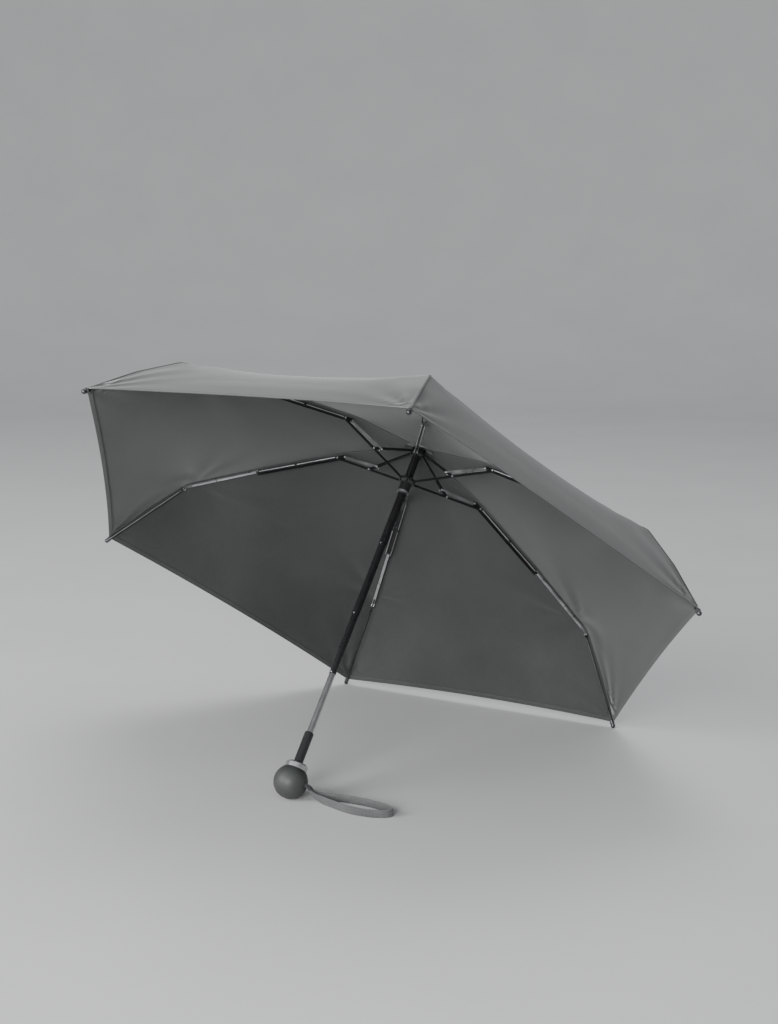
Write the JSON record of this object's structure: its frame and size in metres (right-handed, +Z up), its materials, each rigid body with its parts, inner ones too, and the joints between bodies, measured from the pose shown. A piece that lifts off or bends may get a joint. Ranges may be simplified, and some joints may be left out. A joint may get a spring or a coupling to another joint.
{
  "type": "compact umbrella",
  "caption": "Open compact folding umbrella with ribs that fold in five sections, a telescopic shaft, a ball handle and a wrist strap.",
  "frame": {"origin": "on the floor, under the middle of the box of the umbrella without its strap", "axes": "+Z up; +X across the umbrella through two opposite rib tips; the plane x = 0 is a mirror plane, and the handle is towards -Y; the umbrella lies on its ball and two rib tips"},
  "size_m": [0.9064, 0.6109, 0.5315],
  "materials": {
    "shaft_black": "satin black enamel",
    "shaft_dark_chrome": "dark polished",
    "black_plastic": "moulded satin",
    "bright_steel": "bright zinc",
    "rib_black": "black enamel",
    "rib_outer": "dark wire with a black cap",
    "canopy_cloth": "fine dark weave, coated",
    "ball_rubber": "soft-touch matte",
    "bright_collar": "satin",
    "strap_webbing": "flat woven webbing"
  },
  "bodies": {
    "canopy_top": {"tube_1": "shaft_black", "notch": "black_plastic", "notch_ring": "bright_steel", "top_cap": "black_plastic", "hub_rosette": "canopy_cloth", "canopy": "canopy_cloth"},
    "runner": {"runner": "black_plastic", "runner_rings": "bright_steel"},
    "button": {"runner_button": "black_plastic"},
    "tube_2": {"tube_2": "shaft_black"},
    "tube_3": {"tube_3": "shaft_black"},
    "handle": {"tube_4": "shaft_dark_chrome", "handle_sleeve": "black_plastic", "handle_collar": "bright_collar", "handle_ball": "ball_rubber", "strap_cord": "strap_webbing", "strap": "strap_webbing"},
    "top_rib_a": {"top_rib_a": "rib_black"},
    "stretcher_a": {"stretcher_a": "rib_black"},
    "link_a": {"link_a": "bright_steel"},
    "third_rib_a": {"third_rib_a": "bright_steel"},
    "outer_rib_a": {"outer_rib_a": "rib_outer"},
    "second_rib_a": {"second_rib_a": "rib_black", "spring_wire_a": "bright_steel"},
    "top_rib_b": {"top_rib_b": "rib_black"},
    "stretcher_b": {"stretcher_b": "rib_black"},
    "link_b": {"link_b": "bright_steel"},
    "third_rib_b": {"third_rib_b": "bright_steel"},
    "outer_rib_b": {"outer_rib_b": "rib_outer"},
    "second_rib_b": {"second_rib_b": "rib_black", "spring_wire_b": "bright_steel"},
    "top_rib_c": {"top_rib_c": "rib_black"},
    "stretcher_c": {"stretcher_c": "rib_black"},
    "link_c": {"link_c": "bright_steel"},
    "third_rib_c": {"third_rib_c": "bright_steel"},
    "outer_rib_c": {"outer_rib_c": "rib_outer"},
    "second_rib_c": {"second_rib_c": "rib_black", "spring_wire_c": "bright_steel"},
    "top_rib_d": {"top_rib_d": "rib_black"},
    "stretcher_d": {"stretcher_d": "rib_black"},
    "link_d": {"link_d": "bright_steel"},
    "third_rib_d": {"third_rib_d": "bright_steel"},
    "outer_rib_d": {"outer_rib_d": "rib_outer"},
    "second_rib_d": {"second_rib_d": "rib_black", "spring_wire_d": "bright_steel"},
    "top_rib_e": {"top_rib_e": "rib_black"},
    "stretcher_e": {"stretcher_e": "rib_black"},
    "link_e": {"link_e": "bright_steel"},
    "third_rib_e": {"third_rib_e": "bright_steel"},
    "outer_rib_e": {"outer_rib_e": "rib_outer"},
    "second_rib_e": {"second_rib_e": "rib_black", "spring_wire_e": "bright_steel"},
    "top_rib_f": {"top_rib_f": "rib_black"},
    "stretcher_f": {"stretcher_f": "rib_black"},
    "link_f": {"link_f": "bright_steel"},
    "third_rib_f": {"third_rib_f": "bright_steel"},
    "outer_rib_f": {"outer_rib_f": "rib_outer"},
    "second_rib_f": {"second_rib_f": "rib_black", "spring_wire_f": "bright_steel"}
  },
  "joints": [
    {"name": "runner_slide", "type": "slide", "parent": "canopy_top", "child": "runner", "axis": [0, -0.6386, -0.7696], "range_m": [0, 0.07742], "deforming": ["canopy"]},
    {"name": "button_press", "type": "slide", "parent": "runner", "child": "button", "axis": [0, -0.7696, 0.6386], "range_m": [0, 0.001], "stiffness_N_per_m": 400},
    {"name": "tube_2_slide", "type": "slide", "parent": "canopy_top", "child": "tube_2", "axis": [0, 0.6386, 0.7696], "range_m": [0, 0.1032]},
    {"name": "tube_3_slide", "type": "slide", "parent": "tube_2", "child": "tube_3", "axis": [0, 0.6386, 0.7696], "range_m": [0, 0.0832]},
    {"name": "tube_4_slide", "type": "slide", "parent": "tube_3", "child": "handle", "axis": [0, 0.6386, 0.7696], "range_m": [0, 0.0829]},
    {"name": "top_rib_a_fold", "type": "hinge", "parent": "canopy_top", "child": "top_rib_a", "pos_m": [0.008, 0.12158, 0.39858], "axis": [0, 0.7696, -0.6386], "range_deg": [0, 57.84]},
    {"name": "stretcher_a_fold", "type": "hinge", "parent": "runner", "child": "stretcher_a", "pos_m": [0.0095, 0.09253, 0.36357], "axis": [0, 0.7696, -0.6386], "range_deg": [-74.48, 0]},
    {"name": "second_rib_a_fold", "type": "hinge", "parent": "stretcher_a", "child": "second_rib_a", "pos_m": [0.12119, 0.10978, 0.38436], "axis": [0, 0.7696, -0.6386], "range_deg": [0, 146.09]},
    {"name": "link_a_fold", "type": "hinge", "parent": "second_rib_a", "child": "link_a", "pos_m": [0.10969, 0.11108, 0.38592], "axis": [0, 0.7696, -0.6386], "range_deg": [-148.59, 0]},
    {"name": "third_rib_a_fold", "type": "hinge", "parent": "second_rib_a", "child": "third_rib_a", "pos_m": [0.243, 0.08908, 0.35941], "axis": [0, 0.7696, -0.6386], "range_deg": [-180.62, 0]},
    {"name": "outer_rib_a_fold", "type": "hinge", "parent": "third_rib_a", "child": "outer_rib_a", "pos_m": [0.3566, 0.06322, 0.32825], "axis": [0, 0.7696, -0.6386], "range_deg": [0, 151.35]},
    {"name": "top_rib_b_fold", "type": "hinge", "parent": "canopy_top", "child": "top_rib_b", "pos_m": [0.004, 0.12692, 0.39416], "axis": [-0.866, 0.3848, -0.3193], "range_deg": [0, 57.84]},
    {"name": "stretcher_b_fold", "type": "hinge", "parent": "runner", "child": "stretcher_b", "pos_m": [0.00475, 0.09886, 0.35832], "axis": [-0.866, 0.3848, -0.3193], "range_deg": [-74.48, 0]},
    {"name": "second_rib_b_fold", "type": "hinge", "parent": "stretcher_b", "child": "second_rib_b", "pos_m": [0.06059, 0.19055, 0.31734], "axis": [-0.866, 0.3848, -0.3193], "range_deg": [0, 146.09]},
    {"name": "link_b_fold", "type": "hinge", "parent": "second_rib_b", "child": "link_b", "pos_m": [0.05485, 0.18419, 0.32526], "axis": [-0.866, 0.3848, -0.3193], "range_deg": [-148.59, 0]},
    {"name": "third_rib_b_fold", "type": "hinge", "parent": "second_rib_b", "child": "third_rib_b", "pos_m": [0.1215, 0.25103, 0.22503], "axis": [-0.866, 0.3848, -0.3193], "range_deg": [-180.62, 0]},
    {"name": "outer_rib_b_fold", "type": "hinge", "parent": "third_rib_b", "child": "outer_rib_b", "pos_m": [0.1783, 0.30088, 0.13104], "axis": [-0.866, 0.3848, -0.3193], "range_deg": [0, 151.35]},
    {"name": "top_rib_c_fold", "type": "hinge", "parent": "canopy_top", "child": "top_rib_c", "pos_m": [-0.004, 0.12692, 0.39416], "axis": [-0.866, -0.3848, 0.3193], "range_deg": [0, 57.84]},
    {"name": "stretcher_c_fold", "type": "hinge", "parent": "runner", "child": "stretcher_c", "pos_m": [-0.00475, 0.09886, 0.35832], "axis": [-0.866, -0.3848, 0.3193], "range_deg": [-74.48, 0]},
    {"name": "second_rib_c_fold", "type": "hinge", "parent": "stretcher_c", "child": "second_rib_c", "pos_m": [-0.06059, 0.19055, 0.31734], "axis": [-0.866, -0.3848, 0.3193], "range_deg": [0, 146.09]},
    {"name": "link_c_fold", "type": "hinge", "parent": "second_rib_c", "child": "link_c", "pos_m": [-0.05485, 0.18419, 0.32526], "axis": [-0.866, -0.3848, 0.3193], "range_deg": [-148.59, 0]},
    {"name": "third_rib_c_fold", "type": "hinge", "parent": "second_rib_c", "child": "third_rib_c", "pos_m": [-0.1215, 0.25103, 0.22503], "axis": [-0.866, -0.3848, 0.3193], "range_deg": [-180.62, 0]},
    {"name": "outer_rib_c_fold", "type": "hinge", "parent": "third_rib_c", "child": "outer_rib_c", "pos_m": [-0.1783, 0.30088, 0.13104], "axis": [-0.866, -0.3848, 0.3193], "range_deg": [0, 151.35]},
    {"name": "top_rib_d_fold", "type": "hinge", "parent": "canopy_top", "child": "top_rib_d", "pos_m": [-0.008, 0.12158, 0.39858], "axis": [0, -0.7696, 0.6386], "range_deg": [0, 57.84]},
    {"name": "stretcher_d_fold", "type": "hinge", "parent": "runner", "child": "stretcher_d", "pos_m": [-0.0095, 0.09253, 0.36357], "axis": [0, -0.7696, 0.6386], "range_deg": [-74.48, 0]},
    {"name": "second_rib_d_fold", "type": "hinge", "parent": "stretcher_d", "child": "second_rib_d", "pos_m": [-0.12119, 0.10978, 0.38436], "axis": [0, -0.7696, 0.6386], "range_deg": [0, 146.09]},
    {"name": "link_d_fold", "type": "hinge", "parent": "second_rib_d", "child": "link_d", "pos_m": [-0.10969, 0.11108, 0.38592], "axis": [0, -0.7696, 0.6386], "range_deg": [-148.59, 0]},
    {"name": "third_rib_d_fold", "type": "hinge", "parent": "second_rib_d", "child": "third_rib_d", "pos_m": [-0.243, 0.08908, 0.35941], "axis": [0, -0.7696, 0.6386], "range_deg": [-180.62, 0]},
    {"name": "outer_rib_d_fold", "type": "hinge", "parent": "third_rib_d", "child": "outer_rib_d", "pos_m": [-0.3566, 0.06322, 0.32825], "axis": [0, -0.7696, 0.6386], "range_deg": [0, 151.35]},
    {"name": "top_rib_e_fold", "type": "hinge", "parent": "canopy_top", "child": "top_rib_e", "pos_m": [-0.004, 0.11625, 0.40301], "axis": [0.866, -0.3848, 0.3193], "range_deg": [0, 57.84]},
    {"name": "stretcher_e_fold", "type": "hinge", "parent": "runner", "child": "stretcher_e", "pos_m": [-0.00475, 0.0862, 0.36882], "axis": [0.866, -0.3848, 0.3193], "range_deg": [-74.48, 0]},
    {"name": "second_rib_e_fold", "type": "hinge", "parent": "stretcher_e", "child": "second_rib_e", "pos_m": [-0.06059, 0.02902, 0.45138], "axis": [0.866, -0.3848, 0.3193], "range_deg": [0, 146.09]},
    {"name": "link_e_fold", "type": "hinge", "parent": "second_rib_e", "child": "link_e", "pos_m": [-0.05485, 0.03797, 0.44659], "axis": [0.866, -0.3848, 0.3193], "range_deg": [-148.59, 0]},
    {"name": "third_rib_e_fold", "type": "hinge", "parent": "second_rib_e", "child": "third_rib_e", "pos_m": [-0.1215, -0.07287, 0.4938], "axis": [0.866, -0.3848, 0.3193], "range_deg": [-180.62, 0]},
    {"name": "outer_rib_e_fold", "type": "hinge", "parent": "third_rib_e", "child": "outer_rib_e", "pos_m": [-0.1783, -0.17444, 0.52545], "axis": [0.866, -0.3848, 0.3193], "range_deg": [0, 151.35]},
    {"name": "top_rib_f_fold", "type": "hinge", "parent": "canopy_top", "child": "top_rib_f", "pos_m": [0.004, 0.11625, 0.40301], "axis": [0.866, 0.3848, -0.3193], "range_deg": [0, 57.84]},
    {"name": "stretcher_f_fold", "type": "hinge", "parent": "runner", "child": "stretcher_f", "pos_m": [0.00475, 0.0862, 0.36882], "axis": [0.866, 0.3848, -0.3193], "range_deg": [-74.48, 0]},
    {"name": "second_rib_f_fold", "type": "hinge", "parent": "stretcher_f", "child": "second_rib_f", "pos_m": [0.06059, 0.02902, 0.45138], "axis": [0.866, 0.3848, -0.3193], "range_deg": [0, 146.09]},
    {"name": "link_f_fold", "type": "hinge", "parent": "second_rib_f", "child": "link_f", "pos_m": [0.05485, 0.03797, 0.44659], "axis": [0.866, 0.3848, -0.3193], "range_deg": [-148.59, 0]},
    {"name": "third_rib_f_fold", "type": "hinge", "parent": "second_rib_f", "child": "third_rib_f", "pos_m": [0.1215, -0.07287, 0.4938], "axis": [0.866, 0.3848, -0.3193], "range_deg": [-180.62, 0]},
    {"name": "outer_rib_f_fold", "type": "hinge", "parent": "third_rib_f", "child": "outer_rib_f", "pos_m": [0.1783, -0.17444, 0.52545], "axis": [0.866, 0.3848, -0.3193], "range_deg": [0, 151.35]}
  ],
  "couplings": [
    {"joint": "top_rib_a_fold", "follows": "runner_slide", "rad_per_m": 13.034},
    {"joint": "stretcher_a_fold", "follows": "runner_slide", "rad_per_m": -16.788},
    {"joint": "second_rib_a_fold", "follows": "runner_slide", "rad_per_m": 32.93},
    {"joint": "link_a_fold", "follows": "runner_slide", "rad_per_m": -33.495},
    {"joint": "third_rib_a_fold", "follows": "runner_slide", "rad_per_m": -40.715},
    {"joint": "outer_rib_a_fold", "follows": "runner_slide", "rad_per_m": 34.116},
    {"joint": "top_rib_b_fold", "follows": "runner_slide", "rad_per_m": 13.034},
    {"joint": "stretcher_b_fold", "follows": "runner_slide", "rad_per_m": -16.788},
    {"joint": "second_rib_b_fold", "follows": "runner_slide", "rad_per_m": 32.93},
    {"joint": "link_b_fold", "follows": "runner_slide", "rad_per_m": -33.495},
    {"joint": "third_rib_b_fold", "follows": "runner_slide", "rad_per_m": -40.715},
    {"joint": "outer_rib_b_fold", "follows": "runner_slide", "rad_per_m": 34.116},
    {"joint": "top_rib_c_fold", "follows": "runner_slide", "rad_per_m": 13.034},
    {"joint": "stretcher_c_fold", "follows": "runner_slide", "rad_per_m": -16.788},
    {"joint": "second_rib_c_fold", "follows": "runner_slide", "rad_per_m": 32.93},
    {"joint": "link_c_fold", "follows": "runner_slide", "rad_per_m": -33.495},
    {"joint": "third_rib_c_fold", "follows": "runner_slide", "rad_per_m": -40.715},
    {"joint": "outer_rib_c_fold", "follows": "runner_slide", "rad_per_m": 34.116},
    {"joint": "top_rib_d_fold", "follows": "runner_slide", "rad_per_m": 13.034},
    {"joint": "stretcher_d_fold", "follows": "runner_slide", "rad_per_m": -16.788},
    {"joint": "second_rib_d_fold", "follows": "runner_slide", "rad_per_m": 32.93},
    {"joint": "link_d_fold", "follows": "runner_slide", "rad_per_m": -33.495},
    {"joint": "third_rib_d_fold", "follows": "runner_slide", "rad_per_m": -40.715},
    {"joint": "outer_rib_d_fold", "follows": "runner_slide", "rad_per_m": 34.116},
    {"joint": "top_rib_e_fold", "follows": "runner_slide", "rad_per_m": 13.034},
    {"joint": "stretcher_e_fold", "follows": "runner_slide", "rad_per_m": -16.788},
    {"joint": "second_rib_e_fold", "follows": "runner_slide", "rad_per_m": 32.93},
    {"joint": "link_e_fold", "follows": "runner_slide", "rad_per_m": -33.495},
    {"joint": "third_rib_e_fold", "follows": "runner_slide", "rad_per_m": -40.715},
    {"joint": "outer_rib_e_fold", "follows": "runner_slide", "rad_per_m": 34.116},
    {"joint": "top_rib_f_fold", "follows": "runner_slide", "rad_per_m": 13.034},
    {"joint": "stretcher_f_fold", "follows": "runner_slide", "rad_per_m": -16.788},
    {"joint": "second_rib_f_fold", "follows": "runner_slide", "rad_per_m": 32.93},
    {"joint": "link_f_fold", "follows": "runner_slide", "rad_per_m": -33.495},
    {"joint": "third_rib_f_fold", "follows": "runner_slide", "rad_per_m": -40.715},
    {"joint": "outer_rib_f_fold", "follows": "runner_slide", "rad_per_m": 34.116}
  ]
}
